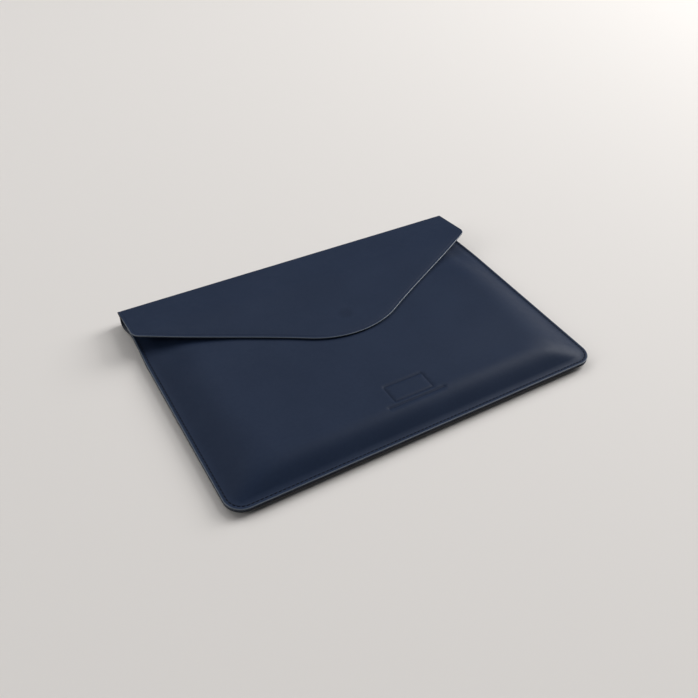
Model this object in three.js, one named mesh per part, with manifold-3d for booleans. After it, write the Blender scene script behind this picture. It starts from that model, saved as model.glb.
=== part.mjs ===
// Padded leather laptop sleeve with a magnetic envelope flap.
//
// Millimetres, +Z up. The sleeve lies on its back: the origin is the bottom centre of the whole
// object, +X runs along the long side, +Y points to the fold and +Z goes out through the front.
// The outer hide is one strip that runs up the back, round the fold and over the front as the flap.
// It bends along three lines, so it is modelled as four solids with a narrow gap at each bend.

import * as THREE from 'three';
import { mergeVertices } from 'three/addons/utils/BufferGeometryUtils.js';
import Module from 'manifold-3d';

const wasm = await Module();
wasm.setup();

// ---------------------------------------------------------------- driving dimensions

const BODY_WIDTH = 340;
const BODY_HEIGHT = 237;
const CORNER_RADIUS = 15;

const FLAP_WIDTH = 343;
const FLAP_TIP_Y = -7.3;
const FLAP_TIP_RADIUS = 85;
const FLAP_TIP_SPREAD = 29.5 * Math.PI / 180;
const FLAP_SIDE_CORNER = { run: 5.5, rise: 8.5, y: 71.6 };
const FLAP_FLANK_SLOPE = 0.6;
const FLAP_FLANK_HANDLE = 35;

const FRONT_Z = 19.5;
const FLAP_Z = 22;
const FLANGE_BACK_Z = 4;
const FLANGE_FRONT_Z = 8;
const FLANGE_WIDTH = 4.5;
const SIDE_SLOPE_WIDTH = 46;
const BOTTOM_SLOPE_WIDTH = 26;
const PLATEAU_RADIUS = 20;
const PILLOW_SOFTNESS = 1.5;

const LEATHER = 1.1;
const FOAM = 2;
const THINNEST_FOAM = 0.25;
const LINED_SEAM_THICKNESS = 2;
const LINING = 0.5;
const FACING = 0.8;
const FLAP_LEATHER = 0.9;
const FLAP_BOARD = 0.4;
const GAP = 0.3;
const FLAP_GAP = 0.2;

const FOLD_Z = 16;
const SHOULDER_RUN = 45;
const CREASE_RADIUS = 4;
const SHOULDER_RADIUS = 150;
const BEND_GAP = 0.15;

const MOUTH_Y = 103.5;
const MOUTH_STITCH_Y = 100;
const FRONT_LINING_TOP_Y = 97;
const FACING_BOTTOM_Y = 85.5;
const FRONT_FOAM_TOP_Y = 79.5;
const BACK_FOAM_TOP_Y = 105.5;
const FLANGE_DROP = { start: 93.5, end: 113.5 };

const MAGNET_Y = 18;
const MAGNET_RADIUS = 8;
const MAGNET_ROOM = 0.6;
const FLAP_MAGNET_THICKNESS = 0.8;
const FRONT_MAGNET_THICKNESS = 1.5;
const BOARD_MARGIN = 9;
const BOARD_TOP_CLEARANCE = 1;

const STITCH_INSET = 2.8;
const THREAD_RADIUS = 0.3;
const THREAD_CLEARANCE = 0.1;

// ---------------------------------------------------------------- derived dimensions

const HALF_WIDTH = BODY_WIDTH / 2;
const HALF_HEIGHT = BODY_HEIGHT / 2;
const HALF_FLAP = FLAP_WIDTH / 2;
const SHOULDER_ANGLE = Math.atan((FLAP_Z - FOLD_Z) / SHOULDER_RUN);
const CREASE_CENTRE_Y = HALF_HEIGHT - CREASE_RADIUS;
const LINING_DEPTH = LEATHER + GAP;
const FOLD_LINING_DEPTH = FLAP_LEATHER + FLAP_GAP;
const FLAP_BOARD_DEPTH = FOLD_LINING_DEPTH;
const FLAP_LINING_DEPTH = FLAP_BOARD_DEPTH + FLAP_BOARD + FLAP_GAP;

// ---------------------------------------------------------------- materials

const leather = new THREE.MeshStandardMaterial({ color: 0x222d45, roughness: 0.55, metalness: 0 });
const lining = new THREE.MeshStandardMaterial({ color: 0x2b3038, roughness: 0.95, metalness: 0 });
const foam = new THREE.MeshStandardMaterial({ color: 0x4a4d52, roughness: 1, metalness: 0 });
const board = new THREE.MeshStandardMaterial({ color: 0x8d7f6a, roughness: 0.9, metalness: 0 });
const steel = new THREE.MeshStandardMaterial({ color: 0xb4b6b8, roughness: 0.35, metalness: 1 });
const thread = new THREE.MeshStandardMaterial({ color: 0x1a2233, roughness: 0.7, metalness: 0 });

// ---------------------------------------------------------------- closed solids

const clamp01 = (t) => Math.min(1, Math.max(0, t));
const lerp = (a, b, t) => a + (b - a) * t;
const smoothstep = (t) => clamp01(t) ** 2 * (3 - 2 * clamp01(t));

// The pillow's height across its slope, 0 to 1: steepest a little way in from the seam, then ever flatter.
const pillow = (t) => 1 - (1 - t) ** 3 * (1 + PILLOW_SOFTNESS * t);
const pillowSteepness = (t) => (1 - t) ** 2 * (3 - PILLOW_SOFTNESS + 4 * PILLOW_SOFTNESS * t);

// Closed surface from a list of triangles, each three [x, y, z] corners, turned to face outwards.
function closedGeometry(triangles) {
  const key = (p) => p.map((v) => v.toFixed(5)).join();
  const whole = triangles.filter(([a, b, c]) => new Set([key(a), key(b), key(c)]).size === 3);
  const volume = whole.reduce((sum, [a, b, c]) => sum
    + a[0] * (b[1] * c[2] - b[2] * c[1])
    + a[1] * (b[2] * c[0] - b[0] * c[2])
    + a[2] * (b[0] * c[1] - b[1] * c[0]), 0);
  const facing = volume > 0 ? whole : whole.map(([a, b, c]) => [a, c, b]);
  const geometry = new THREE.BufferGeometry();
  geometry.setAttribute('position', new THREE.Float32BufferAttribute(facing.flat(2), 3));
  return mergeVertices(geometry, 1e-4);
}

function toSolid(geometry) {
  const bare = geometry.clone();
  bare.deleteAttribute('normal');
  bare.deleteAttribute('uv');
  const merged = mergeVertices(bare, 1e-4);
  return new wasm.Manifold(new wasm.Mesh({
    numProp: 3,
    vertProperties: new Float32Array(merged.attributes.position.array),
    triVerts: new Uint32Array(merged.index.array),
  }));
}

function toGeometry(solid) {
  const { vertProperties, triVerts } = solid.getMesh();
  const geometry = new THREE.BufferGeometry();
  geometry.setAttribute('position', new THREE.BufferAttribute(new Float32Array(vertProperties), 3));
  geometry.setIndex(new THREE.BufferAttribute(new Uint32Array(triVerts), 1));
  return geometry;
}

const cut = (a, b) => toGeometry(toSolid(a).subtract(toSolid(b)));
const overlap = (a, b) => toGeometry(toSolid(a).intersect(toSolid(b)));

// Upright disc on the magnet's axis, from one height to another.
function disc(radius, low, high) {
  const geometry = new THREE.CylinderGeometry(radius, radius, high - low, 32);
  geometry.rotateX(Math.PI / 2);
  geometry.translate(0, MAGNET_Y, (low + high) / 2);
  return geometry;
}

// ---------------------------------------------------------------- the pocket's pillow shape

// A ring is a U-shaped line that runs down one side, along the bottom and up the other side.
// Its slope share is 0 where the flat flange ends and 1 where the flat top of the pillow begins.
const flangeLine = (inset) => ({ slope: 0, insetX: inset, insetY: inset, radius: CORNER_RADIUS - inset });
const edgeRing = flangeLine(0);
const stitchRing = flangeLine(STITCH_INSET);
const flangeRing = flangeLine(FLANGE_WIDTH);
const slopeRings = [0.1, 0.22, 0.36, 0.52, 0.72, 1].map((slope) => ({
  slope,
  insetX: FLANGE_WIDTH + slope * SIDE_SLOPE_WIDTH,
  insetY: FLANGE_WIDTH + slope * BOTTOM_SLOPE_WIDTH,
  radius: lerp(CORNER_RADIUS - FLANGE_WIDTH, PLATEAU_RADIUS, slope),
}));
const panelRings = [edgeRing, flangeRing, ...slopeRings];
const facingRings = slopeRings.slice(1);

// A row crosses the rings: at a height y, round the fold, round a bottom corner or at the bottom centre.
const straightRows = (...heights) => heights.map((y) => ({ y }));
const bottomRows = [0, 15, 30, 45, 60, 75, 90].map((degrees) => ({ corner: degrees * Math.PI / 180 }));
bottomRows.push({ centre: true });
const seamTopRows = straightRows(MOUTH_STITCH_Y, FRONT_LINING_TOP_Y, FLANGE_DROP.start);

// Left half of a ring in plan; the right half is its mirror image.
function planPoint(row, ring) {
  const sideX = -(HALF_WIDTH - ring.insetX);
  const bottomY = -(HALF_HEIGHT - ring.insetY);
  if (row.centre) return [0, bottomY];
  if (row.corner === undefined) return [sideX, row.y];
  return [
    sideX + ring.radius * (1 - Math.cos(row.corner)),
    bottomY + ring.radius * (1 - Math.sin(row.corner)),
  ];
}

// The seam flange sinks towards the fold, where the back lies flat.
const flangeDrop = (y) => FLANGE_BACK_Z
  * smoothstep((y - FLANGE_DROP.start) / (FLANGE_DROP.end - FLANGE_DROP.start));
const backFlangeZ = (y) => FLANGE_BACK_Z - flangeDrop(y);
const frontFlangeZ = (y) => FLANGE_FRONT_Z - flangeDrop(y);

// Outer face of the hide between the fold and the flat of the flap.
const shoulderZ = (y) => FOLD_Z + (HALF_HEIGHT - y) * Math.tan(SHOULDER_ANGLE);

// Outer face of the hide over the pocket, from the slope of the shoulder round the bend to the flat flap.
function flapZ(y) {
  const past = y - shoulderBend.y;
  if (past <= 0) return FLAP_Z;
  if (past >= SHOULDER_RADIUS * Math.sin(SHOULDER_ANGLE)) return shoulderZ(y);
  return shoulderBend.z + Math.sqrt(SHOULDER_RADIUS ** 2 - past ** 2);
}

// The top of the pillow is flat, and sinks under the flap's shoulder towards the mouth.
const frontPlateauZ = (y) => Math.min(FRONT_Z, flapZ(y) - (FLAP_Z - FRONT_Z) / Math.cos(SHOULDER_ANGLE));

const slopeFactor = (rise, ring) => Math.hypot(1, rise * pillowSteepness(ring.slope) / SIDE_SLOPE_WIDTH);

// Point of the front panel at a depth below its outer face.
function frontPoint(row, ring, depth) {
  const [x, y] = planPoint(row, ring);
  const rise = frontPlateauZ(y) - frontFlangeZ(y);
  const outer = frontFlangeZ(y) + rise * pillow(ring.slope);
  return [x, y, outer - depth * slopeFactor(rise, ring)];
}

// Point of the back panel at a depth above its outer face, and round the start of the fold.
function backPoint(row, ring, depth) {
  const [x, y] = planPoint(row, ring);
  if (row.fold !== undefined) {
    const radius = CREASE_RADIUS - depth;
    return [x, y + radius * Math.sin(row.fold), CREASE_RADIUS - radius * Math.cos(row.fold)];
  }
  const rise = backFlangeZ(y);
  return [x, y, rise * (1 - pillow(ring.slope)) + depth * slopeFactor(rise, ring)];
}

// Foam is pared thin towards the seam, where the two panels come together.
function foamThickness(ring) {
  const rise = FRONT_Z - FLANGE_FRONT_Z;
  const middle = FLANGE_FRONT_Z - LINED_SEAM_THICKNESS + FLANGE_BACK_Z * pillow(ring.slope);
  const room = lerp(FLANGE_FRONT_Z, FRONT_Z, pillow(ring.slope)) - middle;
  const others = LEATHER + LINING + 2 * GAP;
  return Math.min(FOAM, Math.max(THINNEST_FOAM, room / slopeFactor(rise, ring) - others));
}

// Closed sheet between two depths of a panel, over the given rows and rings.
function panelSheet(point, rows, rings, near, far) {
  const columns = [
    ...rings.map((ring) => ({ ring, side: 1 })),
    ...rings.map((ring) => ({ ring, side: -1 })).reverse(),
  ];
  const at = (row, { ring, side }, depthOf) => {
    const [x, y, z] = point(row, ring, depthOf(ring, row));
    return [x * side, y, z];
  };
  const triangles = [];
  const quad = (a, b, c, d) => triangles.push([a, b, c], [a, c, d]);
  for (let j = 0; j + 1 < rows.length; j++) {
    for (let i = 0; i + 1 < columns.length; i++) {
      const corners = (depthOf) => [
        at(rows[j], columns[i], depthOf), at(rows[j + 1], columns[i], depthOf),
        at(rows[j + 1], columns[i + 1], depthOf), at(rows[j], columns[i + 1], depthOf),
      ];
      quad(...corners(near));
      quad(...corners(far).reverse());
    }
    for (const [from, to, column] of [[j + 1, j, columns[0]], [j, j + 1, columns.at(-1)]]) {
      quad(at(rows[from], column, near), at(rows[to], column, near),
        at(rows[to], column, far), at(rows[from], column, far));
    }
  }
  const endWall = (row, order) => {
    for (let i = 0; i + 1 < columns.length; i++) {
      const [a, b] = order(columns[i], columns[i + 1]);
      quad(at(row, a, near), at(row, b, near), at(row, b, far), at(row, a, far));
    }
  };
  endWall(rows[0], (a, b) => [a, b]);
  if (!rows.at(-1).centre) endWall(rows.at(-1), (a, b) => [b, a]);
  return closedGeometry(triangles);
}

// ---------------------------------------------------------------- the fold and the flap

// Bends of the hide seen from the end: outer radius, centre, and the angles they start and end at.
const lowerCrease = {
  radius: CREASE_RADIUS,
  y: CREASE_CENTRE_Y,
  z: CREASE_RADIUS,
  from: -Math.PI / 2,
  to: 0,
};
const upperCrease = {
  radius: CREASE_RADIUS,
  y: CREASE_CENTRE_Y,
  z: shoulderZ(CREASE_CENTRE_Y) - CREASE_RADIUS / Math.cos(SHOULDER_ANGLE),
  from: 0,
  to: Math.PI / 2 - SHOULDER_ANGLE,
};
const shoulderBendRise = FLAP_Z - FOLD_Z + SHOULDER_RADIUS * (1 / Math.cos(SHOULDER_ANGLE) - 1);
const shoulderBend = {
  radius: SHOULDER_RADIUS,
  y: HALF_HEIGHT - shoulderBendRise / Math.tan(SHOULDER_ANGLE),
  z: FLAP_Z - SHOULDER_RADIUS,
  from: Math.PI / 2 - SHOULDER_ANGLE,
  to: Math.PI / 2,
};

// Points of one half of a bend at a depth inside the hide's outer face.
function bendArc(bend, half, depth, steps) {
  const middle = (bend.from + bend.to) / 2;
  const halfGap = BEND_GAP / (bend.radius - LEATHER - LINING - GAP);
  const start = half === 'first' ? bend.from : middle + halfGap;
  const end = half === 'first' ? middle - halfGap : bend.to;
  const radius = bend.radius - depth;
  return Array.from({ length: steps + 1 }, (_, i) => {
    const angle = lerp(start, end, i / steps);
    return [bend.y + radius * Math.cos(angle), bend.z + radius * Math.sin(angle)];
  });
}

// Solid strip of one layer across the full width, along a path of [y, z] points given per depth.
function stripSheet(path, near, far, halfWidth) {
  const loop = [...path(near), ...path(far).reverse()];
  const section = new THREE.Shape(loop.map(([y, z]) => new THREE.Vector2(y, z)));
  const geometry = new THREE.ExtrudeGeometry(section, { depth: 2 * halfWidth, bevelEnabled: false });
  geometry.translate(0, 0, -halfWidth);
  const turn = new THREE.Matrix4().makeBasis(
    new THREE.Vector3(0, 1, 0), new THREE.Vector3(0, 0, 1), new THREE.Vector3(1, 0, 0));
  return geometry.applyMatrix4(turn);
}

const spinePath = (depth) => [
  ...bendArc(lowerCrease, 'second', depth, 3),
  ...bendArc(upperCrease, 'first', depth, 3),
];
const shoulderPath = (depth) => [
  ...bendArc(upperCrease, 'second', depth, 3),
  ...bendArc(shoulderBend, 'first', depth, 4),
];

// The flap starts half way round the shoulder bend. Its board starts where it is flat.
const PAST_TIP_Y = FLAP_TIP_Y - 1;
const flapPath = (depth) => [
  ...bendArc(shoulderBend, 'second', depth, 4),
  [PAST_TIP_Y, FLAP_Z - depth],
];
const boardPath = (depth) => [
  [shoulderBend.y - BOARD_TOP_CLEARANCE, FLAP_Z - depth],
  [PAST_TIP_Y, FLAP_Z - depth],
];

// Right half of the edge of a flap layer in plan, kept a margin inside the flap's own edge, from the
// middle of the tip to the side: a round tip, a flank that swings out and in a little, a round corner.
function flapEdge(margin) {
  const tipCentreY = FLAP_TIP_Y + FLAP_TIP_RADIUS;
  const tipRadius = FLAP_TIP_RADIUS - margin;
  const flankX = tipRadius * Math.sin(FLAP_TIP_SPREAD);
  const flankY = tipCentreY - tipRadius * Math.cos(FLAP_TIP_SPREAD);
  const sideX = HALF_FLAP - margin;
  const cornerX = sideX - FLAP_SIDE_CORNER.run;
  const cornerY = FLAP_SIDE_CORNER.y + margin * (Math.hypot(1, FLAP_FLANK_SLOPE) - FLAP_FLANK_SLOPE);
  const lift = FLAP_FLANK_HANDLE * FLAP_FLANK_SLOPE;
  const edge = new THREE.Path();
  edge.absarc(0, tipCentreY, tipRadius, -Math.PI / 2, -Math.PI / 2 + FLAP_TIP_SPREAD, false);
  edge.bezierCurveTo(flankX + FLAP_FLANK_HANDLE, flankY + lift,
    cornerX - FLAP_FLANK_HANDLE, cornerY - lift, cornerX, cornerY);
  edge.quadraticCurveTo(sideX, cornerY + FLAP_SIDE_CORNER.run * FLAP_FLANK_SLOPE,
    sideX, cornerY + FLAP_SIDE_CORNER.rise);
  return edge.getPoints(8);
}

// Upright block with the flap's outline in plan, kept a margin inside its edge, up to past the fold.
function flapBlock(margin) {
  const right = [...flapEdge(margin), new THREE.Vector2(HALF_FLAP - margin, BODY_HEIGHT)];
  const left = right.slice(1).reverse().map((point) => new THREE.Vector2(-point.x, point.y));
  const outline = new THREE.Shape([...right, ...left]);
  return new THREE.ExtrudeGeometry(outline, { depth: 2 * FLAP_Z, bevelEnabled: false });
}

// One layer of the shoulder or the flap: a bent sheet trimmed to the flap's outline.
function flapSheet(path, near, far, margin = 0) {
  const pastEdge = HALF_FLAP + 1;
  return overlap(stripSheet(path, near, far, pastEdge), flapBlock(margin));
}

// ---------------------------------------------------------------- threads

// Closed six-sided tube along a path of [x, y, z] points that never runs straight up.
function threadTube(path) {
  const sides = 6;
  const rings = path.map((point, i) => {
    const before = path[Math.max(i - 1, 0)];
    const after = path[Math.min(i + 1, path.length - 1)];
    const along = Math.hypot(after[0] - before[0], after[1] - before[1]);
    const across = [(before[1] - after[1]) / along, (after[0] - before[0]) / along];
    return Array.from({ length: sides }, (_, s) => {
      const angle = 2 * Math.PI * s / sides;
      const reach = THREAD_RADIUS * Math.cos(angle);
      return [point[0] + across[0] * reach, point[1] + across[1] * reach,
        point[2] + THREAD_RADIUS * Math.sin(angle)];
    });
  });
  const triangles = [];
  for (let i = 0; i + 1 < rings.length; i++) {
    for (let s = 0; s < sides; s++) {
      const t = (s + 1) % sides;
      const [a, b, c, d] = [rings[i][s], rings[i][t], rings[i + 1][t], rings[i + 1][s]];
      triangles.push([a, b, c], [a, c, d]);
    }
  }
  const last = rings.at(-1);
  for (let s = 1; s + 1 < sides; s++) {
    triangles.push([rings[0][0], rings[0][s + 1], rings[0][s]], [last[0], last[s], last[s + 1]]);
  }
  return closedGeometry(triangles);
}

const bothSides = (left) => [...left, ...left.map(([x, y, z]) => [-x, y, z]).reverse()];
const THREAD_DEPTH = -(THREAD_CLEARANCE + THREAD_RADIUS);

// The seam runs down one side, along the bottom and up the other side.
function seamPath(point) {
  const rows = [...seamTopRows, ...bottomRows.slice(0, -1)];
  return bothSides(rows.map((row) => point(row, stitchRing, THREAD_DEPTH)));
}

// The mouth stitching runs straight across the front panel through the facing.
function mouthPath(depth) {
  return bothSides(facingRings.map((ring) => frontPoint({ y: MOUTH_STITCH_Y }, ring, depth)));
}

// ---------------------------------------------------------------- depths of the layers

const leatherNear = () => 0;
const leatherFar = () => LEATHER;
const foamNear = () => LEATHER + GAP;
const foamFar = (ring) => foamNear() + foamThickness(ring);
const facingFar = () => LINING_DEPTH + FACING;

function backLiningNear(ring, row) {
  const padded = ring.slope > 0 && !(row.y > BACK_FOAM_TOP_Y);
  return padded ? foamFar(ring) + GAP : LINING_DEPTH;
}

function frontLiningNear(ring, row) {
  if (ring.slope === 0) return LINING_DEPTH;
  if (!(row.y > FRONT_FOAM_TOP_Y)) return foamFar(ring) + GAP;
  return facingRings.includes(ring) ? facingFar() + GAP : LINING_DEPTH;
}

const under = (near) => (ring, row) => near(ring, row) + LINING;

// ---------------------------------------------------------------- the assembly

const foldEnd = (lowerCrease.to - lowerCrease.from) / 2
  - BEND_GAP / (CREASE_RADIUS - LEATHER - LINING - GAP);
const foldRows = [1, 2 / 3, 1 / 3].map((share) => ({ fold: share * foldEnd, y: CREASE_CENTRE_Y }));
const backRows = [
  ...foldRows,
  ...straightRows(CREASE_CENTRE_Y, 110, BACK_FOAM_TOP_Y),
  ...seamTopRows,
  ...bottomRows,
];
const backFoamRows = [...straightRows(BACK_FOAM_TOP_Y), ...seamTopRows, ...bottomRows];
const mouthRows = straightRows(MOUTH_Y, MOUTH_STITCH_Y);
const facingRows = straightRows(FRONT_LINING_TOP_Y, FLANGE_DROP.start, 89, FACING_BOTTOM_Y);
const frontFoamRows = [...straightRows(FRONT_FOAM_TOP_Y, 74, 67, 60), ...bottomRows];

const magnetHole = disc(MAGNET_RADIUS + MAGNET_ROOM, 0, FLAP_Z - FLAP_LEATHER / 2);
const frontMagnetTop = FRONT_Z - LEATHER - GAP;
const flapMagnetTop = FLAP_Z - FLAP_LEATHER / 2 - FLAP_GAP;

const parts = [
  // back of the pocket
  ['back_leather', leather, panelSheet(backPoint, backRows, panelRings, leatherNear, leatherFar)],
  ['back_foam', foam, panelSheet(backPoint, backFoamRows, slopeRings, foamNear, foamFar)],
  ['back_lining', lining, panelSheet(backPoint, backRows, panelRings, backLiningNear, under(backLiningNear))],

  // front of the pocket
  ['front_leather', leather, panelSheet(frontPoint,
    [...mouthRows, ...facingRows, ...frontFoamRows], panelRings, leatherNear, leatherFar)],
  ['front_foam', foam, cut(panelSheet(frontPoint, frontFoamRows, slopeRings, foamNear, foamFar), magnetHole)],
  ['front_lining', lining, panelSheet(frontPoint,
    [...facingRows, ...frontFoamRows], panelRings, frontLiningNear, under(frontLiningNear))],
  ['mouth_facing', leather, panelSheet(frontPoint,
    [...mouthRows, ...facingRows], facingRings, () => LINING_DEPTH, facingFar)],
  ['front_magnet', steel, disc(MAGNET_RADIUS, frontMagnetTop - FRONT_MAGNET_THICKNESS, frontMagnetTop)],

  // threads of the two seams
  ['seam_needle_thread', thread, threadTube(seamPath(frontPoint))],
  ['seam_bobbin_thread', thread, threadTube(seamPath(backPoint))],
  ['mouth_needle_thread', thread, threadTube(mouthPath(THREAD_DEPTH))],
  ['mouth_bobbin_thread', thread, threadTube(mouthPath(facingFar() - THREAD_DEPTH))],

  // the fold
  ['spine_leather', leather, stripSheet(spinePath, 0, FLAP_LEATHER, HALF_FLAP)],
  ['spine_lining', lining, stripSheet(spinePath, FOLD_LINING_DEPTH, FOLD_LINING_DEPTH + LINING, HALF_FLAP)],
  ['shoulder_leather', leather, flapSheet(shoulderPath, 0, FLAP_LEATHER)],
  ['shoulder_lining', lining, flapSheet(shoulderPath, FOLD_LINING_DEPTH, FOLD_LINING_DEPTH + LINING)],

  // the flap
  ['flap_leather', leather, cut(flapSheet(flapPath, 0, FLAP_LEATHER), magnetHole)],
  ['flap_board', board, cut(
    flapSheet(boardPath, FLAP_BOARD_DEPTH, FLAP_BOARD_DEPTH + FLAP_BOARD, BOARD_MARGIN), magnetHole)],
  ['flap_lining', lining, flapSheet(flapPath, FLAP_LINING_DEPTH, FLAP_LINING_DEPTH + LINING)],
  ['flap_magnet', steel, disc(MAGNET_RADIUS, flapMagnetTop - FLAP_MAGNET_THICKNESS, flapMagnetTop)],
];

const group = new THREE.Group();
for (const [name, material, geometry] of parts) {
  const mesh = new THREE.Mesh(geometry, material);
  mesh.name = name;
  group.add(mesh);
}

export default group;
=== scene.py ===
"""Looks of a padded leather laptop sleeve with a magnetic envelope flap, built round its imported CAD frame.

The shapes are worked out in millimetres and made in metres. The outer hide is one sheet from the
bottom of the back, round the fold, to the tip of the flap, so it is drawn flat first, with x across
and s along the sheet, and then bent. It is cut into three pieces where it lies flat between bends.
"""

import math

import bmesh
import bpy
import numpy as np
from mathutils import Matrix, Vector
from mathutils.geometry import delaunay_2d_cdt


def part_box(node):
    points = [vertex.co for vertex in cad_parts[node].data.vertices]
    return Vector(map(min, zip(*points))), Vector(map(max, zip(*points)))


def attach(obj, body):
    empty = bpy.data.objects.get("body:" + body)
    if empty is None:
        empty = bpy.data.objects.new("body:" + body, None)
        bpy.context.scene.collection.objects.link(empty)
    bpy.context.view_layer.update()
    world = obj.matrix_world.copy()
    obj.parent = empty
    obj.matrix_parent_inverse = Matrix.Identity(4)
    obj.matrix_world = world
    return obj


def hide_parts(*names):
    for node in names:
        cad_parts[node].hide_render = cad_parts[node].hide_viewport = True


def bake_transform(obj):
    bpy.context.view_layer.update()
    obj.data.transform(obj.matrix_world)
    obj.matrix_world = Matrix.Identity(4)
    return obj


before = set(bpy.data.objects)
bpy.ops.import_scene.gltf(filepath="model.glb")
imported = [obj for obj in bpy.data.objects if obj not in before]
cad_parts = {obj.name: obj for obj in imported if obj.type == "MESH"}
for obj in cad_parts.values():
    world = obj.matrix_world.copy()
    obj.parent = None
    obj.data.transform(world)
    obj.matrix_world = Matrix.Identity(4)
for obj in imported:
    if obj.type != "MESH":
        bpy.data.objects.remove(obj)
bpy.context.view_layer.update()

MM = 0.001


def box_mm(node):
    """Lowest and highest corner of a CAD node, in millimetres."""
    low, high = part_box(node)
    return Vector(low) / MM, Vector(high) / MM


def add_object(name, data):
    obj = bpy.data.objects.new(name, data)
    bpy.context.scene.collection.objects.link(obj)
    return obj


# ---- sizes, in millimetres

_, FRONT_HIGH = box_mm("front_leather")
FLAP_LOW, FLAP_HIGH = box_mm("flap_leather")
BACK_LOW, _ = box_mm("back_leather")
_, SPINE_HIGH = box_mm("spine_leather")
FACING_LOW, FACING_HIGH = box_mm("mouth_facing")
_, FRONT_LINING_HIGH = box_mm("front_lining")
_, FRONT_FOAM_HIGH = box_mm("front_foam")
_, BACK_FOAM_HIGH = box_mm("back_foam")
MAGNET_LOW, MAGNET_HIGH = box_mm("flap_magnet")

HALF_WIDTH = FRONT_HIGH.x
BOTTOM_Y = BACK_LOW.y
MOUTH_Y = FRONT_HIGH.y
FOLD_Y = SPINE_HIGH.y
HALF_FLAP = SPINE_HIGH.x
TIP_Y = FLAP_LOW.y
FRONT_Z = FRONT_HIGH.z
FLAP_Z = FLAP_HIGH.z
MAGNET_Y = (MAGNET_LOW.y + MAGNET_HIGH.y) / 2
MAGNET_RADIUS = (MAGNET_HIGH.x - MAGNET_LOW.x) / 2

CORNER_RADIUS = 15.0
FLANGE_BACK_Z = 4.0
FLANGE_FRONT_Z = 8.0
FLANGE_WIDTH = 4.5
SIDE_SLOPE_WIDTH = 46.0
BOTTOM_SLOPE_WIDTH = 26.0
PLATEAU_RADIUS = 20.0
PILLOW_SOFTNESS = 1.5
FLANGE_DROP_START, FLANGE_DROP_END = 93.5, 113.5

# the sides draw in towards the fold, from half-width WAIST_X outwards
WAIST = 1.4
WAIST_START, WAIST_LENGTH = 45.0, 45.0
WAIST_X, WAIST_WIDTH = 90.0, 60.0

# the pillow lies lower in the pocket's two upper corners
CORNER_SAG = 3.0
SAG_START, SAG_LENGTH = 10.0, 50.0
SAG_X, SAG_WIDTH = 85.0, 52.0
SAG_SIDE_WIDTH = 22.0

FOLD_Z = 16.0
SHOULDER_RUN = 45.0
CREASE_RADIUS = 4.0
SHOULDER_RADIUS = 150.0
SHOULDER_ANGLE = math.atan((FLAP_Z - FOLD_Z) / SHOULDER_RUN)

TIP_RADIUS = 85.0
TIP_SPREAD = math.radians(29.5)
FLANK_SLOPE = 0.6
FLANK_HANDLE = 35.0
SIDE_CORNER_RUN = 5.5
SIDE_CORNER_RISE = 8.5
SIDE_CORNER_Y = 71.6
FLAP_SINK = 0.55
FLAP_SINK_RUN = 40.0
FLAP_SINK_WIDTH = 9.0

LEATHER = 1.0
LINING = 0.5
FOAM = 2.0
FACING = 0.7
BOARD_STEP = 0.55
LAYER_GAP = 0.04
LINED_SEAM_THICKNESS = 2.0
LINING_CLEARANCE = 0.3

STITCH_INSET = 2.8
STITCH_PITCH = 3.5
SEAM_TOP_Y = 100.0
MOUTH_STITCH_INSET = 3.5
THREAD_RADIUS = 0.33

MARK_CENTRE = Vector((0.0, -83.0))
MARK_DEPTH = 0.3


# ---- small maths

def smooth(t):
    t = np.clip(t, 0.0, 1.0)
    return t * t * (3 - 2 * t)


def lerp(a, b, t):
    return a + (b - a) * t


def polar(centre, radius, angle):
    return np.array(centre) + radius * np.array([math.cos(angle), math.sin(angle)])


def bump(distance, width):
    """1 at distance 0, falling smoothly to 0 at the given width."""
    return 1 - smooth(np.abs(distance) / width)


# ---- the bent strip, seen from the end

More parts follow.
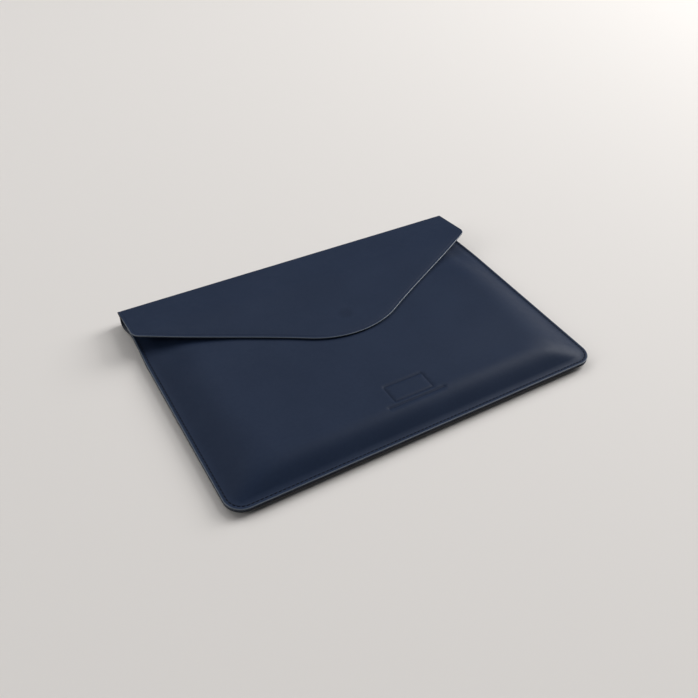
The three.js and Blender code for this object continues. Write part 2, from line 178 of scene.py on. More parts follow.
class Profile:
    """Path of the hide's outer face in the YZ plane, measured by the length s from the bottom edge."""

    def __init__(self):
        crease_y = FOLD_Y - CREASE_RADIUS
        slope = math.tan(SHOULDER_ANGLE)
        upper_z = FOLD_Z + CREASE_RADIUS * slope - CREASE_RADIUS / math.cos(SHOULDER_ANGLE)
        bend_rise = FLAP_Z - FOLD_Z + SHOULDER_RADIUS * (1 / math.cos(SHOULDER_ANGLE) - 1)
        bend_y, bend_z = FOLD_Y - bend_rise / slope, FLAP_Z - SHOULDER_RADIUS
        quarter, end = math.pi / 2, math.pi / 2 - SHOULDER_ANGLE
        self.bend_y = bend_y
        self.stretches, self.s, self.arcs = [], {}, {}
        self.length, self.tip = 0.0, np.array([BOTTOM_Y, 0.0])
        self._line(np.array([crease_y, 0.0]))
        self._arc("lower", CREASE_RADIUS, (crease_y, CREASE_RADIUS), -quarter, 0.0)
        self._line(np.array([FOLD_Y, upper_z]))
        self._arc("upper", CREASE_RADIUS, (crease_y, upper_z), 0.0, end)
        self._line(polar((bend_y, bend_z), SHOULDER_RADIUS, end))
        self._arc("bend", SHOULDER_RADIUS, (bend_y, bend_z), end, quarter)
        self.s_at_zero = self.length + bend_y
        self._line(np.array([2 * TIP_Y, FLAP_Z]))

    def _line(self, end):
        span = np.linalg.norm(end - self.tip)
        self.stretches.append((self.length, "line", self.tip, (end - self.tip) / span))
        self.length, self.tip = self.length + span, end

    def _arc(self, name, radius, centre, first, last):
        span = radius * (last - first)
        self.stretches.append((self.length, "arc", centre, (radius, first)))
        self.s[name] = (self.length, self.length + span)
        self.arcs[name] = [polar(centre, radius, angle) for angle in (first, last)]
        self.length, self.tip = self.length + span, self.arcs[name][1]

    def at(self, s):
        """Points (y, z) of the outer face and the normals that point into the sleeve."""
        points, normals = np.zeros((len(s), 2)), np.zeros((len(s), 2))
        starts = [stretch[0] for stretch in self.stretches]
        owner = np.clip(np.searchsorted(starts, s + 1e-9) - 1, 0, len(starts) - 1)
        for index, (low, kind, a, b) in enumerate(self.stretches):
            mask = owner == index
            if kind == "line":
                points[mask] = a + np.outer(s[mask] - low, b)
                normals[mask] = (-b[1], b[0])
            else:
                radius, first = b
                angle = first + (s[mask] - low) / radius
                out = np.column_stack([np.cos(angle), np.sin(angle)])
                points[mask] = a + radius * out
                normals[mask] = -out
        return points, normals

    def s_of_flap(self, y):
        """Length s of the point of the shoulder or the flap that has a given y."""
        past = y - self.bend_y
        limit = SHOULDER_RADIUS * math.sin(SHOULDER_ANGLE)
        on_bend = SHOULDER_RADIUS * math.asin(min(max(past, 0), limit) / SHOULDER_RADIUS)
        on_shoulder = max(past - limit, 0) / math.cos(SHOULDER_ANGLE)
        return self.s_at_zero - min(y, self.bend_y) - on_bend - on_shoulder

    def flap_z(self, y):
        """Height of the outer face over the pocket."""
        past = np.clip(y - self.bend_y, 0, SHOULDER_RADIUS * math.sin(SHOULDER_ANGLE))
        on_bend = FLAP_Z - SHOULDER_RADIUS + np.sqrt(SHOULDER_RADIUS ** 2 - past ** 2)
        return on_bend - np.maximum(y - self.bend_y - past, 0) * math.tan(SHOULDER_ANGLE)


PROFILE = Profile()
SPINE_CUT = (PROFILE.s["lower"][1] + PROFILE.s["upper"][0]) / 2
SHOULDER_CUT = PROFILE.s["upper"][1] + 12.0


# ---- the pocket's pillow shape

def pillow(share):
    """Height across the slope, 0 to 1: steepest a little way in from the seam, then ever flatter."""
    return 1 - (1 - share) ** 3 * (1 + PILLOW_SOFTNESS * share)


def slope_share(x, y):
    """How far up the pillow's slope a point lies: 0 on the seam flange, 1 on the flat top."""
    low, high = np.zeros_like(x), np.ones_like(x)
    for _ in range(18):
        share = (low + high) / 2
        radius = lerp(CORNER_RADIUS - FLANGE_WIDTH, PLATEAU_RADIUS, share)
        past_x = np.abs(x) - (HALF_WIDTH - FLANGE_WIDTH - share * SIDE_SLOPE_WIDTH - radius)
        past_y = BOTTOM_Y + FLANGE_WIDTH + share * BOTTOM_SLOPE_WIDTH + radius - y
        corner = np.hypot(np.maximum(past_x, 0), np.maximum(past_y, 0))
        distance = np.where((past_x > 0) & (past_y > 0), corner, np.maximum(past_x, past_y))
        inside = distance <= radius
        low, high = np.where(inside, share, low), np.where(inside, high, share)
    return low


def flange_drop(y):
    """How far the flange has come down on the way to the fold, which lies on the table."""
    return FLANGE_BACK_Z * smooth((y - FLANGE_DROP_START) / (FLANGE_DROP_END - FLANGE_DROP_START))


def slope_factor(rise, share):
    """Height of a layer on the pillow's slope for each millimetre of its thickness."""
    steepness = (1 - share) ** 2 * (3 - PILLOW_SOFTNESS + 4 * PILLOW_SOFTNESS * share)
    return np.hypot(1, rise * steepness / SIDE_SLOPE_WIDTH)


def drawn_in(x, y):
    """How far the sides draw in towards the fold, where nothing fills them."""
    from_middle = smooth((np.abs(x) - WAIST_X) / WAIST_WIDTH)
    return x * (WAIST / HALF_WIDTH) * from_middle * smooth((y - WAIST_START) / WAIST_LENGTH)


def corner_sag(x, y):
    """How far the pillow lies lower in the pocket's two upper corners, which the padding doesn't fill."""
    from_seam = smooth((HALF_WIDTH - FLANGE_WIDTH - np.abs(x)) / SAG_SIDE_WIDTH)
    from_middle = smooth((np.abs(x) - SAG_X) / SAG_WIDTH)
    return CORNER_SAG * from_seam * from_middle * smooth((y - SAG_START) / SAG_LENGTH)


def front_cut(plan, depth):
    """Front panel as it is cut, at a depth below its outer face, which sinks under the flap's shoulder."""
    x, y = plan.T
    share = slope_share(x, y)
    flange = FLANGE_FRONT_Z - flange_drop(y)
    rise = PROFILE.flap_z(y) - (FLAP_Z - FRONT_Z) - flange
    z = flange + rise * pillow(share) - depth * slope_factor(rise, share) - corner_sag(x, y)
    return np.column_stack([x - drawn_in(x, y), y, z])


def front_lift(plan, depth):
    """Front panel once its leather has settled."""
    return front_cut(plan, depth) + np.outer(SETTLED(plan), (0, 0, 1))


def back_rise(x, y):
    """Height of the back panel's outer face and the slope factor there."""
    share = slope_share(x, y)
    flange = FLANGE_BACK_Z - flange_drop(y)
    return flange * (1 - pillow(share)), slope_factor(flange, share)


def back_lift(plan, depth):
    """Points of the pocket's back panel at a depth inside its outer face."""
    x, y = plan.T
    rise, factor = back_rise(x, y)
    return np.column_stack([x - drawn_in(x, y), y, rise + depth * factor])


def foam_thickness(share):
    """The foam is pared thin towards the seam, where the two panels come together."""
    middle = FLANGE_FRONT_Z - LINED_SEAM_THICKNESS + FLANGE_BACK_Z * pillow(share)
    room = lerp(FLANGE_FRONT_Z, FRONT_Z, pillow(share)) - middle
    stack = room / slope_factor(FRONT_Z - FLANGE_FRONT_Z, share) - LEATHER - LINING - LINING_CLEARANCE
    return np.clip(stack, 0, FOAM)


# ---- the front leather settles

SETTLE_STEP = 4.0
SETTLE_FRAMES = 30
PADDING_HOLD = 0.1
ROUNDS_OF_EASING = 10
HIGHEST_RISE = 0.15


class Settled:
    """How far each point of the front leather moves up or down in a cloth simulation: it is sewn down on
    three sides, stiff at the mouth and sinks a little on to the padding."""

    def __init__(self):
        self.xs = np.linspace(-HALF_WIDTH, HALF_WIDTH, round(2 * HALF_WIDTH / SETTLE_STEP) + 1)
        self.ys = np.linspace(BOTTOM_Y, MOUTH_Y, round((MOUTH_Y - BOTTOM_Y) / SETTLE_STEP) + 1)
        plan = np.array([(x, y) for y in self.ys for x in self.xs])
        self.rise = np.zeros((len(self.ys), len(self.xs)))
        self.rise = self._eased(self._simulate(plan).reshape(self.rise.shape))

    def _simulate(self, plan):
        start = front_cut(plan, np.zeros(len(plan)))
        share = slope_share(*plan.T)
        sewn = (share < 0.02) | (plan[:, 1] > MOUTH_Y - 2 * MOUTH_STITCH_INSET)
        sheet = self._grid_object(start)
        group = sheet.vertex_groups.new(name="sewn")
        for index, held in enumerate(sewn):
            group.add([index], 1.0 if held else PADDING_HOLD, "REPLACE")
        self._set_up(sheet.modifiers.new("cloth", "CLOTH"))
        scene = bpy.context.scene
        for step in range(1, SETTLE_FRAMES + 1):
            scene.frame_set(step)
        moved = np.empty(3 * len(plan))
        settled = sheet.evaluated_get(bpy.context.evaluated_depsgraph_get()).data
        settled.vertices.foreach_get("co", moved)
        bpy.data.objects.remove(sheet)
        scene.frame_set(1)
        rise = moved.reshape(-1, 3)[:, 2] / MM - start[:, 2]
        return np.minimum(rise, HIGHEST_RISE) * smooth(share / 0.1)

    def _grid_object(self, points):
        columns = len(self.xs)
        corners = [i + j * columns for j in range(len(self.ys) - 1) for i in range(columns - 1)]
        quads = [(c, c + 1, c + 1 + columns, c + columns) for c in corners]
        mesh = bpy.data.meshes.new("settling")
        mesh.from_pydata([tuple(point * MM) for point in points], [], quads)
        return add_object("settling", mesh)

    @staticmethod
    def _eased(rise):
        """Leather is too stiff to follow single points, so each one is averaged with its neighbours."""
        for _ in range(ROUNDS_OF_EASING):
            wide = np.pad(rise, 1, "edge")
            neighbours = wide[:-2, 1:-1] + wide[2:, 1:-1] + wide[1:-1, :-2] + wide[1:-1, 2:]
            rise = (neighbours + 4 * rise) / 8
        return rise

    def _set_up(self, cloth):
        settings = cloth.settings
        settings.vertex_group_mass = "sewn"
        settings.quality = 10
        settings.mass = 0.001
        settings.tension_stiffness = settings.compression_stiffness = 20
        settings.shear_stiffness = 10
        settings.bending_stiffness = 20
        settings.tension_damping = settings.compression_damping = 20
        settings.effector_weights.gravity = 0.5
        cloth.collision_settings.use_collision = False
        cloth.point_cache.frame_end = SETTLE_FRAMES

    def __call__(self, plan):
        """How far the leather has moved at points in plan, between the corners of its grid."""
        column, row = (
            np.clip((values - ticks[0]) / (ticks[1] - ticks[0]), 0, len(ticks) - 1.001)
            for values, ticks in zip(plan.T, (self.xs, self.ys)))
        i, j = column.astype(int), row.astype(int)
        u, v = smooth(column - i), smooth(row - j)
        near = lerp(self.rise[j, i], self.rise[j, i + 1], u)
        far = lerp(self.rise[j + 1, i], self.rise[j + 1, i + 1], u)
        return lerp(near, far, v)


SETTLED = Settled()


# ---- outlines, anticlockwise

def line_points(a, b, step):
    """Evenly spaced points from a up to, and without, b."""
    a, b = np.array(a, float), np.array(b, float)
    span = np.linalg.norm(b - a)
    if span < 1e-6:
        return []
    count = max(1, round(span / step))
    return [a + (b - a) * i / count for i in range(count)]


def arc_points(centre, radius, first, last, step):
    count = max(4, round(abs(last - first) * radius / step))
    return [polar(centre, radius, lerp(first, last, i / count)) for i in range(count)]


def bezier_points(controls, step):
    controls = [np.array(c, float) for c in controls]
    degree = len(controls) - 1
    count = max(4, round(np.linalg.norm(controls[-1] - controls[0]) / step))
    points = []
    for i in range(count):
        t = i / count
        weights = [math.comb(degree, k) * t ** k * (1 - t) ** (degree - k) for k in range(degree + 1)]
        points.append(sum(w * c for w, c in zip(weights, controls)))
    return points


def u_half(inset, top_y, step):
    """From the bottom centre round the right corner and up the right side to a height."""
    side, bottom, radius = HALF_WIDTH - inset, BOTTOM_Y + inset, CORNER_RADIUS - inset
    return [
        *line_points((0, bottom), (side - radius, bottom), step),
        *arc_points((side - radius, bottom + radius), radius, -math.pi / 2, 0, step / 2),
        *line_points((side, bottom + radius), (side, top_y), step),
    ]


def mirrored(half):
    """Whole loop from its right half, which starts and ends on the centre line."""
    left = [np.array([-p[0], p[1]]) for p in reversed(half[1:-1])]
    return np.array(half + left)


def panel_outline(inset, top_y, step=2.5):
    half = u_half(inset, top_y, step)
    half += line_points((HALF_WIDTH - inset, top_y), (0, top_y), step) + [np.array([0.0, top_y])]
    return mirrored(half)


def flap_edge(step):
    """Right half of the flap's edge in plan, from the side to the middle of the tip."""
    centre_y = TIP_Y + TIP_RADIUS
    flank = (TIP_RADIUS * math.sin(TIP_SPREAD), centre_y - TIP_RADIUS * math.cos(TIP_SPREAD))
    corner_x = HALF_FLAP - SIDE_CORNER_RUN
    lift = FLANK_HANDLE * FLANK_SLOPE
    return [
        *bezier_points([
            (HALF_FLAP, SIDE_CORNER_Y + SIDE_CORNER_RISE),
            (HALF_FLAP, SIDE_CORNER_Y + SIDE_CORNER_RUN * FLANK_SLOPE),
            (corner_x, SIDE_CORNER_Y)], step / 3),
        *bezier_points([
            (corner_x, SIDE_CORNER_Y),
            (corner_x - FLANK_HANDLE, SIDE_CORNER_Y - lift),
            (flank[0] + FLANK_HANDLE, flank[1] + lift),
            flank], step),
        *arc_points((0, centre_y), TIP_RADIUS, -math.pi / 2 + TIP_SPREAD, -math.pi / 2, step),
        np.array([0.0, TIP_Y]),
    ]


def bend_rows():
    """Lengths s at which the hide has a row of points right across, close together in the creases."""
    return [
        *np.linspace(*PROFILE.s["lower"], 9),
        SPINE_CUT,
        *np.linspace(*PROFILE.s["upper"], 9),
        *np.linspace(PROFILE.s["upper"][1], SHOULDER_CUT, 4)[1:],
    ]


def hide_outline(step=2.5):
    """Outline of the flat hide: the back with round bottom corners, the fold and the flap."""
    widen_start, widen_end = FLANGE_DROP_START, FOLD_Y - CREASE_RADIUS - 2
    half = u_half(0, widen_start, step)
    for _, y in line_points((HALF_FLAP, widen_start), (HALF_FLAP, widen_end), step):
        widened = smooth((y - widen_start) / (widen_end - widen_start))
        half.append(np.array([lerp(HALF_WIDTH, HALF_FLAP, widened), y]))
    half += line_points((HALF_FLAP, widen_end), (HALF_FLAP, FOLD_Y - CREASE_RADIUS), 1.0)
    half = [np.array([p[0], p[1] - BOTTOM_Y]) for p in half]
    half += [np.array([HALF_FLAP, s]) for s in bend_rows()[:-1]]
    edge = flap_edge(step)
    half += line_points((HALF_FLAP, SHOULDER_CUT), (HALF_FLAP, PROFILE.s_of_flap(edge[0][1])), step)
    half += [np.array([p[0], PROFILE.s_of_flap(p[1])]) for p in edge]
    return mirrored(half)


def offset(loop, inset):
    """The loop moved inwards, with mitred corners."""
    before = loop - np.roll(loop, 1, axis=0)
    after = np.roll(loop, -1, axis=0) - loop
    normals = []
    for edge in (before, after):
        edge = edge / np.linalg.norm(edge, axis=1)[:, None]
        normals.append(np.column_stack([-edge[:, 1], edge[:, 0]]))
    mitre = (normals[0] + normals[1]) / (1 + (normals[0] * normals[1]).sum(1))[:, None]
    return loop + inset * mitre


def circle(radius, count=40):
    angles = np.arange(count) * 2 * math.pi / count
    return np.column_stack([radius * np.cos(angles), MAGNET_Y + radius * np.sin(angles)])


def distance_to(points, loop):
    """Distance from each point to the closed loop."""
    best = np.full(len(points), np.inf)
    for a, b in zip(loop, np.roll(loop, -1, axis=0)):
        along = b - a
        t = np.clip((points - a) @ along / (along @ along), 0, 1)
        best = np.minimum(best, np.hypot(*(points - a - np.outer(t, along)).T))
    return best


def is_inside(points, loop):
    inside = np.zeros(len(points), bool)
    for a, b in zip(loop, np.roll(loop, -1, axis=0)):
        crosses = (a[1] > points[:, 1]) != (b[1] > points[:, 1])
        if crosses.any():
            at_x = a[0] + (points[:, 1] - a[1]) * (b[0] - a[0]) / ((b[1] - a[1]) or 1)
            inside ^= crosses & (points[:, 0] < at_x)
    return inside


# ---- flat meshes

def bands(rings):
    """Quads between each closed ring of point numbers and the next."""
    quads = []
    for low, high in zip(rings, rings[1:]):
        quads += [(low[i], low[j], high[j], high[i]) for i, j in enumerate([*range(1, len(low)), 0])]
    return quads


def numbered_rings(start, rings, count):
    return np.arange(start, start + rings * count).reshape(rings, count).tolist()


def renumbered(faces, used):
    """The faces once only the used points are left."""
    place = {v: i for i, v in enumerate(used)}
    return [tuple(place[v] for v in face) for face in faces]


EDGE_INSETS = (0.9, 1.3, 1.7, 2.1, 2.45, 2.8, 3.15, 3.5, 3.9, 4.5)
LINING_INSETS = (1.0, 2.0, 3.0, 4.3)


class FlatMesh:
    """Plan of a sheet: bands of quads that follow the outline, and even triangles inside them."""

    def __init__(self, outline, rim, insets=EDGE_INSETS, spacing=4.0, loops=(), rows=(), holes=()):
        self.outline, self.rim, self.count = outline, rim, len(outline)
        rings = [offset(outline, d) for d in (rim, *insets)]
        inner = rings[-1]
        self.points = np.array(rings[:-1]).reshape(-1, 2)
        self.faces = bands(numbered_rings(0, len(rings), self.count))
        closed = [*loops, *holes]
        across = [self._row(inner, s, spacing) for s in rows]
        grid = self._grid(inner, spacing, closed, rows)
        self._triangulate([inner, *closed], across, grid, holes)
        place = {tuple(np.round(p, 4)): i for i, p in reversed(list(enumerate(self.points)))}
        self.holes = [[place[tuple(np.round(p, 4))] for p in hole] for hole in holes]
        self._drop_unused()
        self.edge_distance = distance_to(self.points, outline)

    @staticmethod
    def _row(inner, s, spacing):
        """Points right across the sheet at a length s."""
        reach = np.abs(inner[np.abs(inner[:, 1] - s) < 1e-6][:, 0]).max()
        columns = round(2 * reach / (1.5 * spacing))
        return np.column_stack([np.linspace(-reach, reach, columns + 1), np.full(columns + 1, s)])

    def _triangulate(self, closed, across, grid, holes):
        """Adds the triangles inside the first closed loop and outside the holes."""
        edges, start = [], 0
        for line, is_loop in [(loop, True) for loop in closed] + [(row, False) for row in across]:
            steps = len(line) if is_loop else len(line) - 1
            edges += [(start + i, start + (i + 1) % len(line)) for i in range(steps)]
            start += len(line)
        flat = np.concatenate([*closed, *across, grid])
        result = delaunay_2d_cdt([Vector(point) for point in flat], edges, [], 0, 1e-4, True)
        triangles, origins = result[2], result[3]
        names = [len(self.points) + min(sources) for sources in origins]
        self.points = np.concatenate([self.points, flat])
        triangles = [tuple(names[v] for v in triangle) for triangle in triangles]
        centres = np.array([self.points[list(t)].mean(0) for t in triangles])
        keep = is_inside(centres, closed[0])
        for hole in holes:
            keep &= ~is_inside(centres, hole)
        self.faces += [triangle for triangle, kept in zip(triangles, keep) if kept]

    @staticmethod
    def _grid(inner, spacing, closed, rows):
        """Staggered even points inside the innermost ring, clear of it, of the rows and of the loops."""
        low, high = inner.min(0), inner.max(0)
        step_y = spacing * math.sqrt(3) / 2
        ys = np.arange(low[1], high[1], step_y)
        grid = np.array([
            (x, y) for i, y in enumerate(ys)
            for x in np.arange(low[0] + (i % 2) * spacing / 2, high[0], spacing)])
        grid = grid[is_inside(grid, inner)]
        keep = distance_to(grid, inner) > 0.55 * spacing
        if rows:
            keep &= (grid[:, 1] < min(rows) - 0.6 * spacing) | (grid[:, 1] > max(rows) + 0.6 * spacing)
        for loop in closed:
            keep &= distance_to(grid, loop) > 0.3 * spacing
        return grid[keep]

    def _drop_unused(self):
        used = sorted({v for face in self.faces + self.holes for v in face})
        self.points = self.points[used]
        self.faces, self.holes = renumbered(self.faces, used), renumbered(self.holes, used)


# ---- solid sheets

RIM_STEPS = 6


class Sheet:
    """Closed sheet between two depths of a flat mesh, with a half-round edge."""

    def __init__(self, flat, lift, near, far):
        plan = flat.points
        near_depth, far_depth = near(plan), far(plan)
        flats, depths = [plan, plan], [near_depth, far_depth]
        total, count = len(plan), flat.count
        self.faces, self.kinds = [], []
        self._add([face[::-1] for face in flat.faces], 0)
        self._add([tuple(v + total for v in face) for face in flat.faces], 1)
        for k in range(1, RIM_STEPS):
            angle = -math.pi / 2 + math.pi * k / RIM_STEPS
            middle = (near_depth[:count] + far_depth[:count]) / 2
            flats.append(offset(flat.outline, flat.rim * (1 - math.cos(angle))))
            depths.append(middle + (far_depth[:count] - near_depth[:count]) / 2 * math.sin(angle))
        rim_rings = numbered_rings(2 * total, RIM_STEPS - 1, count)
        self._add(bands([range(count), *rim_rings, range(total, total + count)]), 2)
        for hole in flat.holes:
            self._add(bands([hole, [v + total for v in hole]]), 1)
        self.points = np.concatenate([lift(ring, depth) for ring, depth in zip(flats, depths)])
        self.grain = np.column_stack([np.concatenate(flats), np.concatenate(depths)])
        ring_edge = np.zeros(len(self.points) - 2 * total)
        self.edge = np.concatenate([flat.edge_distance, flat.edge_distance, ring_edge])

    def _add(self, faces, kind):
        self.faces += faces
        self.kinds += [kind] * len(faces)

    def make(self, name, materials, between=None):
        """Makes the object, or only its part between two lengths s, closed where it is cut."""
        middle = [self.grain[list(face), 1].mean() for face in self.faces]
        keep = [i for i, s in enumerate(middle) if between is None or between[0] < s < between[1]]
        used = sorted({v for i in keep for v in self.faces[i]})
        return make_mesh(
            name, self.points[used], renumbered([self.faces[i] for i in keep], used), materials,
            [self.kinds[i] for i in keep], {"grain": self.grain[used], "edge": self.edge[used]})


SHARP_ANGLE = math.radians(50)


def make_mesh(name, points, faces, materials, kinds, attributes):
    """Object from points in millimetres; open edges are filled and all faces turned outwards."""
    mesh = bpy.data.meshes.new(name)
    mesh.from_pydata([tuple(p) for p in np.asarray(points) * MM], [], faces)
    for material in materials:
        mesh.materials.append(material)
    mesh.polygons.foreach_set("material_index", np.array(kinds, np.int32))
    for key, values in attributes.items():
        vector = np.ndim(values) == 2
        attribute = mesh.attributes.new(key, "FLOAT_VECTOR" if vector else "FLOAT", "POINT")
        attribute.data.foreach_set("vector" if vector else "value", np.asarray(values, np.float32).ravel())
    edit = bmesh.new()
    edit.from_mesh(mesh)
    open_edges = [e for e in edit.edges if len(e.link_faces) == 1]
    if open_edges:
        bmesh.ops.holes_fill(edit, edges=open_edges, sides=0)
    bmesh.ops.recalc_face_normals(edit, faces=edit.faces)
    edit.to_mesh(mesh)
    edit.free()
    mesh.shade_smooth()
    mesh.set_sharp_from_angle(angle=SHARP_ANGLE)
    return add_object(name, mesh)


# ---- depths of the layers

def rounded_box_distance(plan, centre, half_x, half_y, radius):
    """Signed distance to a rounded rectangle, negative inside it."""
    away = np.abs(plan - np.array(centre)) - np.array([half_x - radius, half_y - radius])
    return np.hypot(*np.maximum(away, 0).T) + np.minimum(away.max(1), 0) - radius


MARK_WALL = 0.35
SCREEN = ((MARK_CENTRE.x, MARK_CENTRE.y + 2.0), 19.0, 9.5, 2.2)
SCREEN_STROKE = 1.7
BASE = ((MARK_CENTRE.x, MARK_CENTRE.y - 10.7), 27.0, 1.3, 1.3)


def mark_distance(plan):
    """Signed distance to the pressed mark, the plain outline of an open laptop."""
    outer = rounded_box_distance(plan, *SCREEN)
    return np.minimum(np.maximum(outer, -(outer + SCREEN_STROKE)), rounded_box_distance(plan, *BASE))


def rounded_box_loop(centre, half_x, half_y, radius, step=1.5):
    """Anticlockwise loop round a rounded rectangle."""
    radius = max(radius, 0.2)
    arcs = []
    for turn, (sign_x, sign_y) in enumerate(((1, 1), (-1, 1), (-1, -1), (1, -1))):
        middle = (centre[0] + sign_x * (half_x - radius), centre[1] + sign_y * (half_y - radius))
        first, last = turn * math.pi / 2, (turn + 1) * math.pi / 2
        arcs.append((arc_points(middle, radius, first, last, 0.5), polar(middle, radius, last)))
    loop = []
    for (arc, end), (following, _) in zip(arcs, [*arcs[1:], arcs[0]]):
        loop += arc + line_points(end, following[0], step)
    return np.array(loop)


def mark_loops():
    """Loops along the top and the foot of the mark's walls."""
    screen_walls = (0.0, MARK_WALL, SCREEN_STROKE - MARK_WALL, SCREEN_STROKE)
    return [
        rounded_box_loop(centre, half_x - moved, half_y - moved, radius - moved)
        for (centre, half_x, half_y, radius), walls in ((SCREEN, screen_walls), (BASE, (0.0, MARK_WALL)))
        for moved in walls]


PANEL_OUTLINE = panel_outline(0, MOUTH_Y)
HIDE_OUTLINE = hide_outline()
STITCH_GROOVE = 0.22
EDGE_CREASE_INSET = 2.45
EDGE_CREASE = 0.18
MAGNET_PRESS = 0.2
MAGNET_RAISE = 0.12
MAGNET_SKIVE = 0.45


def from_magnet(x, y):
    """How far outside the magnets' rim a point lies."""
    return np.hypot(x, y - MAGNET_Y) - MAGNET_RADIUS


def front_near(plan):
    """Pressed details of the front leather's outer face: the stitch lines and the mark."""
    edge = distance_to(plan, PANEL_OUTLINE)
    from_mouth = MOUTH_Y - plan[:, 1]
    at_side = edge < from_mouth - 0.01
    seam = np.where(at_side, bump(edge - STITCH_INSET, 0.9), 0)
    mouth = np.where(at_side, 0, bump(from_mouth - MOUTH_STITCH_INSET, 0.9))
    mark = smooth(-mark_distance(plan) / MARK_WALL)
    raised = MAGNET_RAISE * (1 - smooth(from_magnet(*plan.T) / 1.8))
    return STITCH_GROOVE * (seam + mouth) + MARK_DEPTH * mark - raised


def hide_s_to_y(s):
    return s + BOTTOM_Y


def flap_sink(flat):
    """The flap's edge lies a little lower than its middle, where the board is."""
    edge = distance_to(flat, HIDE_OUTLINE)
    on_flap = smooth((flat[:, 1] - PROFILE.s["bend"][0]) / FLAP_SINK_RUN)
    return FLAP_SINK * on_flap * (1 - smooth(edge / FLAP_SINK_WIDTH))


def hide_lift(flat, depth):
    """Points of the hide, or of a layer under it, bent to shape."""
    x, s = flat.T
    points, normals = PROFILE.at(s)
    y, z = (points + normals * (depth + flap_sink(flat))[:, None]).T
    on_back = s < PROFILE.s["lower"][0]
    rise, factor = back_rise(x, hide_s_to_y(s))
    z = np.where(on_back, rise + depth * factor, z)
    below_crease = 1 - smooth((z - FLANGE_FRONT_Z) / (FOLD_Z - FLANGE_FRONT_Z))
    return np.column_stack([x - drawn_in(x, y) * below_crease, y, z])


def hide_near(flat):
    """Pressed details of the hide's outer face: stitch lines, the flap's edge crease and the magnet."""
    edge = distance_to(flat, HIDE_OUTLINE)
    on_back = 1 - smooth((hide_s_to_y(flat[:, 1]) - SEAM_TOP_Y) / 3)
    seam = on_back * bump(edge - STITCH_INSET, 0.9)
    crease = (1 - on_back) * bump(edge - EDGE_CREASE_INSET, 0.6)
    magnet = from_magnet(flat[:, 0], PROFILE.s_at_zero - flat[:, 1])
    press = MAGNET_PRESS * (1 - smooth((magnet + 3) / 5))
    return STITCH_GROOVE * seam + EDGE_CREASE * crease + press


def hide_far(flat):
    """The leather is pared thin on the inside, where the magnet sits."""
    magnet = from_magnet(flat[:, 0], PROFILE.s_at_zero - flat[:, 1])
    return LEATHER - MAGNET_SKIVE * (1 - smooth((magnet - 0.4) / 0.6))


def hide_lining_near(flat):
    """The lining lies on the foam in the pocket, the leather round the fold and the board in the flap."""
    x, s = flat.T
    share = slope_share(x, hide_s_to_y(s))
    in_pocket = 1 - smooth((hide_s_to_y(s) - BACK_FOAM_HIGH.y) / 6)
    from_edge = distance_to(flat, HIDE_OUTLINE)
    on_board = smooth((s - PROFILE.s["bend"][1] + 2) / 6) * smooth((from_edge - 5) / 4)
    foam = np.where(s < PROFILE.s["lower"][0], in_pocket * foam_thickness(share), 0)
    return LEATHER + LAYER_GAP + foam + BOARD_STEP * on_board


def front_lining_near(plan):
    share = slope_share(*plan.T)
    in_foam = 1 - smooth((plan[:, 1] - FRONT_FOAM_HIGH.y) / 5)
    in_facing = smooth((plan[:, 1] - FACING_LOW.y + 3) / 3)
    in_facing *= smooth((FACING_HIGH.x + 2 - np.abs(plan[:, 0])) / 2)
    on_foam, on_facing = in_foam * foam_thickness(share), in_facing * (FACING + LAYER_GAP)
    return LEATHER + LAYER_GAP + np.maximum(on_foam, on_facing)


def thicker(near, thickness):
    return lambda plan: near(plan) + thickness


def constant(depth):
    return lambda plan: np.full(len(plan), depth)


# ---- materials

